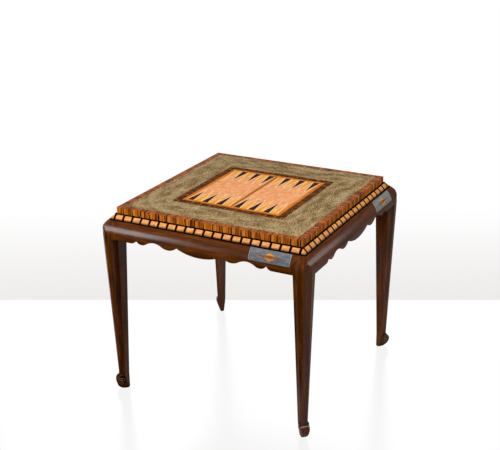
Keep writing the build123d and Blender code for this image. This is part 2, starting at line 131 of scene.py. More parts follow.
# Scroll carved on the cheeks of each foot
ROLL_HEIGHT = 38.0 * MM
ROLL_DISTANCE = 565.1 * MM
CHEEK_HALF = 15.5 * MM
CHEEK_SPREAD_BELOW = 0.2105
CHEEK_SPREAD_ABOVE = 0.121
SPIRAL_OUTER = 16.5 * MM
SPIRAL_INNER = 5.0 * MM
SPIRAL_TURNS = 1.6
RIDGE_RADIUS = 1.6 * MM
GROOVE_RADIUS = 1.5 * MM
EYE_RADIUS = 3.8 * MM
EYE_FLATTENING = 0.6
RIDGE_START = math.radians(100)
GROOVE_START = math.radians(-80)

# Screws under one side, in millimetres: through the brace, runners, glue strip and stops
SCREW_PLACES = (
    (335.0, -372.0, 652.0), (372.0, -335.0, 652.0),
    (189.4, -180.0, 671.0), (189.4, -265.0, 671.0), (189.4, -350.0, 671.0),
    (361.6, -180.0, 671.0), (361.6, -260.0, 671.0), (361.6, -340.0, 671.0),
    (-300.0, -378.0, 700.0), (-190.0, -378.0, 700.0), (-80.0, -378.0, 700.0), (30.0, -378.0, 700.0),
    (140.0, -378.0, 700.0),
    (258.0, -339.0, 710.0), (293.0, -339.0, 710.0), (258.0, -153.7, 696.0), (293.0, -153.7, 696.0))
SCREW_RADIUS = 3.8 * MM
SCREW_PROUD = 0.7 * MM
SLOT_WIDTH = 0.9 * MM
SCREW_SEED = 7


def linear(code):
    """sRGB hex code as linear RGBA."""
    channels = [int(code[i:i + 2], 16) / 255 for i in (1, 3, 5)]
    curve = [c / 12.92 if c <= 0.04045 else ((c + 0.055) / 1.055) ** 2.4 for c in channels]
    return (*curve, 1.0)


def add(tree, kind, inputs=None, **settings):
    """Adds a node, sets its properties, and fills or links its inputs."""
    made = tree.nodes.new(kind)
    for name, value in settings.items():
        setattr(made, name, value)
    for socket, value in (inputs or {}).items():
        if isinstance(value, bpy.types.NodeSocket):
            tree.links.new(value, made.inputs[socket])
        else:
            made.inputs[socket].default_value = value
    return made


def new_material(name):
    """Empty material with its output node, and the Object coordinates that its patterns read."""
    material = bpy.data.materials.new(name)
    material.use_nodes = True
    tree = material.node_tree
    tree.nodes.clear()
    output = add(tree, "ShaderNodeOutputMaterial")
    place = add(tree, "ShaderNodeTexCoord").outputs["Object"]
    return material, tree, output, place


def colour_ramp(tree, factor, stops):
    """Colour ramp over (position, hex) stops."""
    ramp = add(tree, "ShaderNodeValToRGB", {"Fac": factor})
    elements = ramp.color_ramp.elements
    while len(elements) < len(stops):
        elements.new(0.5)
    for element, (position, code) in zip(elements, stops):
        element.position = position
        element.color = linear(code)
    return ramp.outputs["Color"]


def finish_wood(tree, output, colour, height, lacquer, sheen_roughness, bump_depth=0.03 * MM):
    """Wood under a clear film: the wood itself is matt, the film gives the gloss and the bump its pores."""
    bump = add(tree, "ShaderNodeBump", {"Strength": 1.0, "Distance": bump_depth, "Height": height})
    shader = add(tree, "ShaderNodeBsdfPrincipled", {
        "Base Color": colour, "Roughness": 0.6, "Specular IOR Level": 0.0,
        "Coat Weight": lacquer, "Coat Roughness": sheen_roughness, "Coat IOR": 1.5,
        "Normal": bump.outputs["Normal"], "Coat Normal": bump.outputs["Normal"]})
    tree.links.new(shader.outputs["BSDF"], output.inputs["Surface"])


def solid_wood(name, along, stops, figure_mm, pore_mm, lacquer, sheen_roughness, stretch=12.0, recesses=None):
    """Straight-grained timber sawn along one axis: broad figure and fine pores that run with it."""
    material, tree, output, place = new_material(name)
    scale = [1 / stretch if axis == along else 1.0 for axis in "XYZ"]
    grain = add(tree, "ShaderNodeMapping", {"Vector": place, "Scale": scale}).outputs["Vector"]
    figure = add(tree, "ShaderNodeTexNoise", {
        "Vector": grain, "Scale": 1 / (figure_mm * MM), "Detail": 5.0, "Roughness": 0.6, "Distortion": 0.6})
    pores = add(tree, "ShaderNodeTexNoise", {
        "Vector": grain, "Scale": 1 / (pore_mm * MM), "Detail": 2.0, "Roughness": 0.5})
    mixed = add(tree, "ShaderNodeMix", {
        0: 0.25, 2: figure.outputs["Fac"], 3: pores.outputs["Fac"]}, data_type="FLOAT")
    colour = colour_ramp(tree, mixed.outputs[0], stops)
    if recesses:
        colour = darkened(tree, colour, recesses(tree, place))
    finish_wood(tree, output, colour, pores.outputs["Fac"], lacquer, sheen_roughness)
    return material


def darkened(tree, colour, factor):
    """Colour that turns to near-black brown where the factor nears one: painted shade, dark joint lines and
    darker strings, as each mask gives them.
    """
    return add(tree, "ShaderNodeMix", {
        0: factor, 6: colour, 7: linear("#0E0602")}, data_type="RGBA").outputs[2]


def leg_joint_and_shade(tree, place):
    """Where a leg is darker: at the mitre of its shoulders a joint line with painted shadow, and in the notch
    over its scroll painted shade.
    """
    axes = add(tree, "ShaderNodeSeparateXYZ", {0: place}).outputs
    across_x = add(tree, "ShaderNodeMath", {0: axes["X"]}, operation="ABSOLUTE").outputs[0]
    across_y = add(tree, "ShaderNodeMath", {0: axes["Y"]}, operation="ABSOLUTE").outputs[0]
    mitre = add(tree, "ShaderNodeMath", {
        0: across_x, 1: across_y, 2: MITRE_LINE}, operation="COMPARE").outputs[0]
    above = add(tree, "ShaderNodeMath", {0: axes["Z"], 1: ARCH_TOP}, operation="GREATER_THAN").outputs[0]
    reach = add(tree, "ShaderNodeMath", {0: across_x, 1: across_y}, operation="ADD").outputs[0]
    forward = add(tree, "ShaderNodeMath", {0: reach, 1: NOTCH_REACH}, operation="GREATER_THAN").outputs[0]
    notch = add(tree, "ShaderNodeMath", {
        0: axes["Z"], 1: NOTCH_HEIGHT, 2: NOTCH_HALF}, operation="COMPARE").outputs[0]
    joint = add(tree, "ShaderNodeMath", {0: mitre, 1: above}, operation="MULTIPLY").outputs[0]
    crease = add(tree, "ShaderNodeMath", {0: notch, 1: forward}, operation="MULTIPLY").outputs[0]
    either = add(tree, "ShaderNodeMath", {0: joint, 1: crease}, operation="MAXIMUM").outputs[0]
    return add(tree, "ShaderNodeMath", {0: either, 1: JOINT_AND_SHADE_DARKNESS}, operation="MULTIPLY").outputs[0]


def block_filler_and_shade(tree, place):
    """Where the bead's blocks are darker: dark filler with painted shade at both ends, next to the bars, and
    painted shade along the foot.
    """
    axes = add(tree, "ShaderNodeSeparateXYZ", {0: side_place(tree, place)}).outputs
    cells = add(tree, "ShaderNodeMath", {0: axes["X"], 1: BEAD_PITCH}, operation="DIVIDE").outputs[0]
    phase = add(tree, "ShaderNodeMath", {0: cells}, operation="FRACT").outputs[0]
    middle = add(tree, "ShaderNodeMath", {0: phase, 1: 0.5}, operation="SUBTRACT").outputs[0]
    away = add(tree, "ShaderNodeMath", {0: middle}, operation="ABSOLUTE").outputs[0]
    ends = add(tree, "ShaderNodeMapRange", {
        "Value": away, "From Min": FILLER_AND_SHADE_START, "From Max": FILLER_AND_SHADE_FULL}).outputs[0]
    foot = add(tree, "ShaderNodeMapRange", {
        "Value": axes["Z"], "From Min": BEAD_FOOT + BLOCK_SHADE_HIGH,
        "From Max": BEAD_FOOT + BLOCK_SHADE_LOW}).outputs[0]
    either = add(tree, "ShaderNodeMath", {0: ends, 1: foot}, operation="MAXIMUM").outputs[0]
    return add(tree, "ShaderNodeMath", {0: either, 1: BLOCK_DARKNESS}, operation="MULTIPLY").outputs[0]


def plaque_rims(tree, place):
    """Where a plaque's strings are darker: along its top and its foot, and not at its two ends."""
    low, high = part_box("plaque_strings_front")
    height = add(tree, "ShaderNodeSeparateXYZ", {0: place}).outputs["Z"]
    within = add(tree, "ShaderNodeMath", {
        0: height, 1: (low[2] + high[2]) / 2,
        2: (high[2] - low[2]) / 2 - STRING_RISE}, operation="COMPARE").outputs[0]
    return add(tree, "ShaderNodeMath", {
        0: within, 1: -STRING_DARKNESS, 2: STRING_DARKNESS}, operation="MULTIPLY_ADD").outputs[0]


def side_place(tree, place):
    """Along and across each side of the top, so that one pattern runs round all four sides."""
    axes = add(tree, "ShaderNodeSeparateXYZ", {0: place}).outputs
    across_x = add(tree, "ShaderNodeMath", {0: axes["X"]}, operation="ABSOLUTE").outputs[0]
    across_y = add(tree, "ShaderNodeMath", {0: axes["Y"]}, operation="ABSOLUTE").outputs[0]
    on_flank = add(tree, "ShaderNodeMath", {0: across_x, 1: across_y}, operation="GREATER_THAN").outputs[0]
    along = add(tree, "ShaderNodeMix", {
        0: on_flank, 2: axes["X"], 3: axes["Y"]}, data_type="FLOAT").outputs[0]
    across = add(tree, "ShaderNodeMix", {
        0: on_flank, 2: axes["Y"], 3: axes["X"]}, data_type="FLOAT").outputs[0]
    return add(tree, "ShaderNodeCombineXYZ", {"X": along, "Y": across, "Z": axes["Z"]}).outputs[0]


def noise_of(tree, place, size_mm, scale=(1.0, 1.0, 1.0), detail=3.0, roughness=0.6):
    """Noise of one size in millimetres, stretched by a scale on each axis."""
    stretched = add(tree, "ShaderNodeMapping", {"Vector": place, "Scale": scale}).outputs["Vector"]
    return add(tree, "ShaderNodeTexNoise", {
        "Vector": stretched, "Scale": 1 / (size_mm * MM), "Detail": detail,
        "Roughness": roughness}).outputs["Fac"]


def khaki_veneer():
    """Dyed burr veneer in four mitred leaves: short streaks over clouds, so it looks soft and mottled."""
    material, tree, output, place = new_material("khaki_veneer_leaves")
    local = side_place(tree, place)
    streaks = noise_of(tree, local, 2.6, (0.3, 1.0, 1.0), 3.0, 0.65)
    clouds = noise_of(tree, local, 28.0, (0.4, 1.0, 1.0), 3.0)
    mixed = add(tree, "ShaderNodeMix", {0: 0.3, 2: streaks, 3: clouds}, data_type="FLOAT")
    colour = colour_ramp(tree, mixed.outputs[0], (
        (0.38, "#3E2D14"), (0.45, "#705730"), (0.50, "#8F764C"), (0.55, "#AC9369"), (0.62, "#CCB690")))
    finish_wood(tree, output, colour, streaks, 0.1, 0.45)
    return material


def crossbanding():
    """Orange wood laid crosswise in short lengths, with dark heartwood at their joints."""
    material, tree, output, place = new_material("crossbanded_edge")
    local = side_place(tree, place)
    axes = add(tree, "ShaderNodeSeparateXYZ", {0: local}).outputs
    waver = noise_of(tree, local, 30.0, (1.0, 0.4, 0.4), 2.0)
    shift = add(tree, "ShaderNodeMath", {0: waver, 1: JOINT_WAVER, 2: axes["X"]}, operation="MULTIPLY_ADD")
    cells = add(tree, "ShaderNodeMath", {0: shift.outputs[0], 1: BEAD_PITCH}, operation="DIVIDE").outputs[0]
    phase = add(tree, "ShaderNodeMath", {0: cells}, operation="FRACT").outputs[0]
    joints = colour_ramp(tree, phase, (
        (0.0, "#000000"), (0.03, "#000000"), (0.08, "#FFFFFF"), (0.36, "#FFFFFF"), (0.40, "#606060"),
        (0.44, "#E0E0E0"), (0.80, "#B0B0B0"), (0.90, "#FFFFFF"), (0.95, "#000000")))
    fine = noise_of(tree, local, 3.6, (1.0, 0.05, 0.05), 3.0, 0.65)
    broad = noise_of(tree, local, 14.0, (1.0, 0.08, 0.08), 2.0)
    stripes = add(tree, "ShaderNodeMix", {0: 0.3, 2: fine, 3: broad}, data_type="FLOAT").outputs[0]
    on_top = add(tree, "ShaderNodeMapRange", {
        "Value": axes["Z"], "From Min": TABLE_TOP - FACE_START,
        "From Max": TABLE_TOP - FACE_FULL}).outputs[0]
    shown = add(tree, "ShaderNodeMix", {
        0: on_top, 6: joints, 7: linear("#B8B8B8")}, data_type="RGBA").outputs[2]
    lighter = add(tree, "ShaderNodeMath", {
        0: shown, 1: JOINT_CONTRAST, 2: stripes}, operation="MULTIPLY_ADD").outputs[0]
    colour = colour_ramp(tree, lighter, (
        (0.53, "#180A02"), (0.62, "#763609"), (0.70, "#B85C12"), (0.79, "#D47A20"), (0.92, "#E4983E")))
    # Painted shade: the top face of the edge is darker than its side faces
    shaded = add(tree, "ShaderNodeMath", {0: on_top, 1: FACE_DARKNESS}, operation="MULTIPLY").outputs[0]
    finish_wood(tree, output, darkened(tree, colour, shaded), fine, 0.2, 0.25)
    return material


def crosscut_band(name, stops, length_mm):
    """Band round the board, cut across the grain in short lengths that differ in colour."""
    material, tree, output, place = new_material(name)
    local = side_place(tree, place)
    lengths = noise_of(tree, local, length_mm, (1.0, 0.25, 1.0), 3.0, 0.65)
    fine = noise_of(tree, local, 2.5, (1.0, 0.12, 1.0), 3.0, 0.6)
    mixed = add(tree, "ShaderNodeMix", {0: 0.4, 2: lengths, 3: fine}, data_type="FLOAT").outputs[0]
    finish_wood(tree, output, colour_ramp(tree, mixed, stops), fine, 0.1, 0.4)
    return material


def burr_ground():
    """Peach burr of the playing ground: small soft clouds with fine specks."""
    material, tree, output, place = new_material("peach_burr_ground")
    clouds = noise_of(tree, place, 16.0, (1.0, 1.0, 1.0), 4.0)
    specks = noise_of(tree, place, 2.4, (1.0, 1.0, 1.0), 2.0)
    mixed = add(tree, "ShaderNodeMix", {0: 0.35, 2: clouds, 3: specks}, data_type="FLOAT").outputs[0]
    colour = colour_ramp(tree, mixed, ((0.32, "#CC7E46"), (0.48, "#E49A64"), (0.64, "#F0AE7C")))
    finish_wood(tree, output, colour, specks, 0.1, 0.4)
    return material


def plaque_inlay(name, along, side):
    """Amber diamond under a brown lozenge: the lozenge is told from the diamond by its own outline."""
    material, tree, output, place = new_material(name)
    low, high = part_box(f"plaque_motif_{side}")
    axes = add(tree, "ShaderNodeSeparateXYZ", {0: place}).outputs
    index = "XYZ".index(along)
    half = (high[index] - low[index]) / 2
    rise = (high[2] - low[2]) / 2 * LOZENGE_SHARE
    parts = []
    for axis, centre, reach in ((along, (low[index] + high[index]) / 2, half),
                                ("Z", (low[2] + high[2]) / 2, rise)):
        offset = add(tree, "ShaderNodeMath", {0: axes[axis], 1: centre}, operation="SUBTRACT").outputs[0]
        size = add(tree, "ShaderNodeMath", {0: offset}, operation="ABSOLUTE").outputs[0]
        parts.append(add(tree, "ShaderNodeMath", {0: size, 1: reach}, operation="DIVIDE").outputs[0])
    spread = add(tree, "ShaderNodeMath", {0: parts[0], 1: parts[1]}, operation="ADD").outputs[0]
    outside = add(tree, "ShaderNodeMath", {0: spread, 1: LOZENGE_SLACK}, operation="GREATER_THAN").outputs[0]
    scale = [0.12 if axis == along else 1.0 for axis in "XYZ"]
    grain = noise_of(tree, place, 3.0, scale, 3.0)
    brown = colour_ramp(tree, grain, ((0.3, "#6E3A1C"), (0.5, "#94562C"), (0.7, "#B0703E")))
    amber = colour_ramp(tree, grain, ((0.3, "#C07818"), (0.5, "#DC9428"), (0.7, "#ECAC48")))
    colour = add(tree, "ShaderNodeMix", {0: outside, 6: brown, 7: amber}, data_type="RGBA").outputs[2]
    finish_wood(tree, output, colour, grain, 0.5, 0.2)
    return material


def plain_material(mesh, material):
    """Leaves a mesh with this one material."""
    mesh.materials.clear()
    mesh.materials.append(material)


def new_piece(name, mesh, body, replaced=()):
    """Object at the origin that rides on a body and stands for the nodes it replaces."""
    piece = bpy.data.objects.new(name, mesh)
    bpy.context.scene.collection.objects.link(piece)
    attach(piece, body)
    if replaced:
        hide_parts(*replaced)


def softened(node, material, arris, body):
    """Copy of a node with its points merged and its arrises rounded as sandpaper leaves them."""
    mesh = nodes[node].data.copy()
    work = bmesh.new()
    work.from_mesh(mesh)
    bmesh.ops.remove_doubles(work, verts=work.verts, dist=MERGE_DISTANCE)
    bmesh.ops.dissolve_limit(work, angle_limit=FLAT_ANGLE, verts=work.verts, edges=work.edges)
    weight = work.edges.layers.float.new("bevel_weight_edge")
    for edge in work.edges:
        if edge.is_manifold and edge.calc_face_angle() > ARRIS_ANGLE:
            edge[weight] = 1.0
    work.to_mesh(mesh)
    work.free()
    for polygon in mesh.polygons:
        polygon.use_smooth = True
    draft = bpy.data.objects.new("draft", mesh)
    bpy.context.scene.collection.objects.link(draft)
    bevel = draft.modifiers.new("arris", "BEVEL")
    bevel.width = arris
    bevel.segments = 3
    bevel.limit_method = "WEIGHT"
    normals = draft.modifiers.new("flat_faces", "WEIGHTED_NORMAL")
    normals.keep_sharp = True
    normals.weight = 90
    finished = bpy.data.meshes.new_from_object(draft.evaluated_get(bpy.context.evaluated_depsgraph_get()))
    bpy.data.objects.remove(draft)
    plain_material(finished, material)
    new_piece(f"{node}_softened", finished, body, (node,))


def carving_tree():
    """Geometry nodes: a spiral ridge and its eye on both cheeks of the foot, at all four corners."""
    tree = bpy.data.node_groups.new("scroll_carving", "GeometryNodeTree")
    sockets = (("Centre Distance", "NodeSocketFloat"), ("Centre Height", "NodeSocketFloat"),
               ("Cheek Half Width", "NodeSocketFloat"), ("Spread Below", "NodeSocketFloat"),
               ("Spread Above", "NodeSocketFloat"), ("Outer Radius", "NodeSocketFloat"),
               ("Inner Radius", "NodeSocketFloat"), ("Turns", "NodeSocketFloat"),
               ("Start Angle", "NodeSocketFloat"),
               ("Ridge Radius", "NodeSocketFloat"), ("Eye Radius", "NodeSocketFloat"),
               ("Material", "NodeSocketMaterial"))
    for name, kind in sockets:
        tree.interface.new_socket(name, in_out="INPUT", socket_type=kind)
    tree.interface.new_socket("Geometry", in_out="OUTPUT", socket_type="NodeSocketGeometry")
    given = add(tree, "NodeGroupInput").outputs

    # The spiral lies in a plane: X is the distance from the table's middle, Y the height
    spiral = add(tree, "GeometryNodeCurveSpiral", {
        "Resolution": 40, "Rotations": given["Turns"], "Start Radius": given["Inner Radius"],
        "End Radius": given["Outer Radius"], "Height": 0.0})
    turned = add(tree, "ShaderNodeCombineXYZ", {"Z": given["Start Angle"]})
    eye = add(tree, "GeometryNodeMeshUVSphere", {"Segments": 20, "Rings": 10, "Radius": given["Eye Radius"]})
    ring = add(tree, "GeometryNodeCurvePrimitiveCircle", {"Resolution": 8, "Radius": given["Ridge Radius"]})
    centre = add(tree, "ShaderNodeCombineXYZ", {"X": given["Centre Distance"], "Y": given["Centre Height"]})
    placed = add(tree, "GeometryNodeTransform", {
        "Geometry": spiral.outputs[0], "Translation": centre.outputs[0], "Rotation": turned.outputs[0]})

    # Each point moves out to the cheek, which spreads with height
    axes = add(tree, "ShaderNodeSeparateXYZ", {0: add(tree, "GeometryNodeInputPosition").outputs[0]}).outputs
    above = add(tree, "ShaderNodeMath", {
        0: axes["Y"], 1: given["Centre Height"]}, operation="SUBTRACT").outputs[0]
    low = add(tree, "ShaderNodeMath", {0: above, 1: given["Spread Below"]}, operation="MULTIPLY").outputs[0]
    high = add(tree, "ShaderNodeMath", {0: above, 1: given["Spread Above"]}, operation="MULTIPLY").outputs[0]
    spread = add(tree, "ShaderNodeMath", {0: low, 1: high}, operation="MINIMUM").outputs[0]
    cheek = add(tree, "ShaderNodeMath", {0: given["Cheek Half Width"], 1: spread}, operation="ADD").outputs[0]
    surface = add(tree, "ShaderNodeCombineXYZ", {"X": axes["X"], "Y": axes["Y"], "Z": cheek})
    raised = add(tree, "GeometryNodeSetPosition", {
        "Geometry": placed.outputs[0], "Position": surface.outputs[0]})
    ridge = add(tree, "GeometryNodeCurveToMesh", {
        "Curve": raised.outputs[0], "Profile Curve": ring.outputs[0], "Fill Caps": True})
    eye_centre = add(tree, "ShaderNodeCombineXYZ", {
        "X": given["Centre Distance"], "Y": given["Centre Height"], "Z": given["Cheek Half Width"]})
    eye_placed = add(tree, "GeometryNodeTransform", {
        "Geometry": eye.outputs[0], "Translation": eye_centre.outputs[0],
        "Scale": (1.0, 1.0, EYE_FLATTENING)})
    one = add(tree, "GeometryNodeJoinGeometry")
    tree.links.new(ridge.outputs[0], one.inputs[0])
    tree.links.new(eye_placed.outputs[0], one.inputs[0])

    # The other cheek is a mirror image. The drawing plane then stands up on the corner's diagonal
    mirrored = add(tree, "GeometryNodeTransform", {"Geometry": one.outputs[0], "Scale": (1.0, 1.0, -1.0)})
    turned_out = add(tree, "GeometryNodeFlipFaces", {"Mesh": mirrored.outputs[0]})
    both = add(tree, "GeometryNodeJoinGeometry")
    tree.links.new(one.outputs[0], both.inputs[0])
    tree.links.new(turned_out.outputs[0], both.inputs[0])
    upright = add(tree, "GeometryNodeTransform", {
        "Geometry": both.outputs[0], "Rotation": (math.radians(90), 0.0, 0.0)})
    whole = add(tree, "GeometryNodeJoinGeometry")
    for quarter in range(4):
        corner = add(tree, "GeometryNodeTransform", {
            "Geometry": upright.outputs[0], "Rotation": (0.0, 0.0, math.radians(90 * quarter - 45))})
        tree.links.new(corner.outputs[0], whole.inputs[0])
    real = add(tree, "GeometryNodeRealizeInstances", {"Geometry": whole.outputs[0]})
    smooth = add(tree, "GeometryNodeSetShadeSmooth", {"Geometry": real.outputs[0]})
    dressed = add(tree, "GeometryNodeSetMaterial", {
        "Geometry": smooth.outputs[0], "Material": given["Material"]})
    output = add(tree, "NodeGroupOutput")
    tree.links.new(dressed.outputs[0], output.inputs[0])
    return tree


def screw_tree():
    """Geometry nodes: a slotted head on each point, its slot left at any angle."""
    tree = bpy.data.node_groups.new("wood_screws", "GeometryNodeTree")
    tree.interface.new_socket("Geometry", in_out="INPUT", socket_type="NodeSocketGeometry")
    for name in ("Head Radius", "Proud", "Slot Width"):
        tree.interface.new_socket(name, in_out="INPUT", socket_type="NodeSocketFloat")
    tree.interface.new_socket("Seed", in_out="INPUT", socket_type="NodeSocketInt")
    tree.interface.new_socket("Material", in_out="INPUT", socket_type="NodeSocketMaterial")
    tree.interface.new_socket("Geometry", in_out="OUTPUT", socket_type="NodeSocketGeometry")
    given = add(tree, "NodeGroupInput").outputs
    thick = add(tree, "ShaderNodeMath", {0: given["Proud"], 1: 2.0}, operation="MULTIPLY").outputs[0]
    broad = add(tree, "ShaderNodeMath", {0: given["Head Radius"], 1: 3.0}, operation="MULTIPLY").outputs[0]
    head = add(tree, "GeometryNodeMeshCylinder", {
        "Vertices": 20, "Radius": given["Head Radius"], "Depth": thick})
    size = add(tree, "ShaderNodeCombineXYZ", {"X": broad, "Y": given["Slot Width"], "Z": given["Proud"]})
    low = add(tree, "ShaderNodeMath", {0: given["Proud"], 1: -1.0}, operation="MULTIPLY").outputs[0]
    drop = add(tree, "ShaderNodeCombineXYZ", {"Z": low})
    slot = add(tree, "GeometryNodeTransform", {
        "Geometry": add(tree, "GeometryNodeMeshCube", {"Size": size.outputs[0]}).outputs[0],
        "Translation": drop.outputs[0]})
    cut = add(tree, "GeometryNodeMeshBoolean", {"Mesh 1": head.outputs[0]}, operation="DIFFERENCE")
    tree.links.new(slot.outputs[0], cut.inputs["Mesh 2"])
    angle = add(tree, "FunctionNodeRandomValue", {"Seed": given["Seed"]}, data_type="FLOAT")
    angle.inputs[3].default_value = math.pi
    turn = add(tree, "ShaderNodeCombineXYZ", {"Z": angle.outputs[1]})
    placed = add(tree, "GeometryNodeInstanceOnPoints", {
        "Points": given["Geometry"], "Instance": cut.outputs[0], "Rotation": turn.outputs[0]})
    real = add(tree, "GeometryNodeRealizeInstances", {"Geometry": placed.outputs[0]})
    dressed = add(tree, "GeometryNodeSetMaterial", {
        "Geometry": real.outputs[0], "Material": given["Material"]})
    output = add(tree, "NodeGroupOutput")
    tree.links.new(dressed.outputs[0], output.inputs[0])
    return tree


def screw_steel():
    """Bright drawn steel gone dull: grey with faint darker blotches."""
    material, tree, output, place = new_material("dulled_steel")
    blotches = noise_of(tree, place, 3.0)
    colour = colour_ramp(tree, blotches, ((0.35, "#6A6864"), (0.65, "#A8A59E")))
    shader = add(tree, "ShaderNodeBsdfPrincipled", {"Base Color": colour, "Metallic": 1.0, "Roughness": 0.38})
    tree.links.new(shader.outputs["BSDF"], output.inputs["Surface"])
    return material


def drive_screws(material):
    """Screws of all four sides, on points that are turned in quarters from the front side's."""
    points = bpy.data.meshes.new("screw_points")
    quarters = [Matrix.Rotation(math.radians(90 * quarter), 3, "Z") for quarter in range(4)]
    points.from_pydata([turn @ (Vector(place) * MM) for turn in quarters for place in SCREW_PLACES], [], [])
    values = {"Head Radius": SCREW_RADIUS, "Proud": SCREW_PROUD, "Slot Width": SLOT_WIDTH,
              "Seed": SCREW_SEED, "Material": material}
    keep_result("wood_screws", screw_tree(), values, material, points)


def keep_result(name, tree, values, material, start=None):
    """Runs a geometry tree once with its inputs set, and keeps the result as a plain mesh."""
    draft = bpy.data.objects.new("draft", start or bpy.data.meshes.new("draft"))
    bpy.context.scene.collection.objects.link(draft)
    modifier = draft.modifiers.new("shape", "NODES")
    modifier.node_group = tree
    for item in tree.interface.items_tree:
        if item.in_out == "INPUT" and item.name in values:
            modifier[item.identifier] = values[item.name]
    mesh = bpy.data.meshes.new_from_object(draft.evaluated_get(bpy.context.evaluated_depsgraph_get()))
    bpy.data.objects.remove(draft)
    plain_material(mesh, material)
    new_piece(name, mesh, "table")


def carve_scrolls(name, material, start_angle, ridge_radius, eye_radius):
    """Spiral and eye on the cheeks of all four feet, in one material."""
    values = {
        "Centre Distance": ROLL_DISTANCE, "Centre Height": ROLL_HEIGHT,
        "Cheek Half Width": CHEEK_HALF, "Spread Below": CHEEK_SPREAD_BELOW,
        "Spread Above": CHEEK_SPREAD_ABOVE,
        "Outer Radius": SPIRAL_OUTER, "Inner Radius": SPIRAL_INNER, "Turns": SPIRAL_TURNS,
        "Start Angle": start_angle, "Ridge Radius": ridge_radius, "Eye Radius": eye_radius,
        "Material": material}
    keep_result(name, carving_tree(), values, material)


# Mahogany, stained red-brown and lacquered: warm brown with darker streaks under a clear gloss
MAHOGANY_STOPS = ((0.34, "#371703"), (0.46, "#502504"), (0.56, "#643206"), (0.68, "#7C430C"))
mahogany = {axis: solid_wood(f"lacquered_mahogany_{axis.lower()}", axis, MAHOGANY_STOPS, 14.0, 1.2, 1.0, 0.2)
            for axis in "XY"}
# Mahogany of the legs, with a dark line at each mitre, partly joint and partly painted shadow, and painted
# shade in the notch over each scroll
leg_wood = solid_wood(
    "lacquered_mahogany_leg", "Z", MAHOGANY_STOPS, 14.0, 1.2, 1.0, 0.2, recesses=leg_joint_and_shade)
# The same mahogany painted lighter on the ridges of the carving: a painted highlight, where they catch the
# light
ridge_highlight_wood = solid_wood("ridge_highlight_mahogany", "Z", ((0.3, "#74482A"), (0.7, "#AC8058")), 10.0, 1.2, 1.0, 0.2)
# Painted shade: a near-black spiral laid in the grooves of the carving
groove_shade = solid_wood("painted_groove_shade", "Z", ((0.3, "#0E0602"), (0.7, "#1C0E06")), 10.0, 1.2, 0.6, 0.3)
# Poplar, planed and left bare: pale, even and matt
poplar = solid_wood("bare_poplar", "X", ((0.3, "#8F6F4A"), (0.7, "#B8966A")), 12.0, 1.5, 0.0, 0.5)
# Oak, sawn and waxed thinly: open straight grain, matt
OAK_STOPS = ((0.3, "#9C7748"), (0.7, "#C9A26C"))
oak = {axis: solid_wood(f"bare_oak_{axis.lower()}", axis, OAK_STOPS, 7.0, 1.0, 0.1, 0.5)
       for axis in "XY"}
# Pearwood, stained black and polished: close-grained, nearly even
ebonised = solid_wood("ebonised_pearwood", "X", ((0.3, "#030202"), (0.7, "#090505")), 6.0, 1.0, 0.05, 0.4)
# Polished blocks of the bead: warm peach with a lively figure, darker at the ends (dark filler with painted
# shade) and along the foot (painted shade)
block_wood = solid_wood("polished_peach_blocks", "X", (
    (0.32, "#C07434"), (0.46, "#E0944C"), (0.56, "#EEA862"), (0.70, "#F8C084")),
    7.0, 1.2, 0.6, 0.2, 3.0, block_filler_and_shade)
khaki = khaki_veneer()
edge_wood = crossbanding()
# Rosewood cut crosswise, satin: short dark lengths with orange flecks between them
rosewood = crosscut_band("crosscut_rosewood", (
    (0.38, "#1A0A02"), (0.46, "#3C1E08"), (0.52, "#5C300E"), (0.59, "#8C4E14"), (0.68, "#B87422")), 9.0)
# Padauk line, satin: bright orange, a little streaky
padauk = crosscut_band("padauk_line", ((0.32, "#9C4A0C"), (0.5, "#CC6E18"), (0.68, "#E29038")), 8.0)
ground = burr_ground()
# Amber-brown bar, walnut and satinwood points and holly lines: satin veneers that run towards the players
bar_wood = solid_wood("amber_bar", "Y", ((0.3, "#8A480A"), (0.7, "#B86C18")), 6.0, 1.0, 0.1, 0.4)
walnut = solid_wood("walnut_points", "Y", ((0.3, "#201002"), (0.7, "#402408")), 6.0, 1.0, 0.1, 0.4)
satinwood = solid_wood("satinwood_points", "Y", (
    (0.3, "#CC7C14"), (0.5, "#E29A28"), (0.7, "#F0B448")), 6.0, 1.0, 0.1, 0.4)
holly = solid_wood("holly_lines", "Y", ((0.3, "#EBC68A"), (0.7, "#FADDAE")), 6.0, 1.0, 0.1, 0.4)
# Sycamore dyed blue-grey and polished: faint ripple under a gloss
dyed = {"X": solid_wood("dyed_sycamore_x", "X", (
            (0.3, "#50565C"), (0.5, "#6C7279"), (0.7, "#91979B")), 6.0, 1.0, 1.0, 0.2, 4.0),
        # On the left and right sides the plaques are lighter: painted light standing in for the brighter
        # reflection there
        "Y": solid_wood("dyed_sycamore_y_painted_light", "Y", (
            (0.3, "#666E70"), (0.5, "#84898A"), (0.7, "#A4A6A2")), 6.0, 1.0, 1.0, 0.2, 4.0)}
pale_dyed = {axis: solid_wood(f"pale_dyed_sycamore_{axis.lower()}", axis, (
    (0.3, "#8C9091"), (0.7, "#B8B8B2")), 6.0, 1.0, 0.5, 0.2, 4.0, plaque_rims) for axis in "XY"}

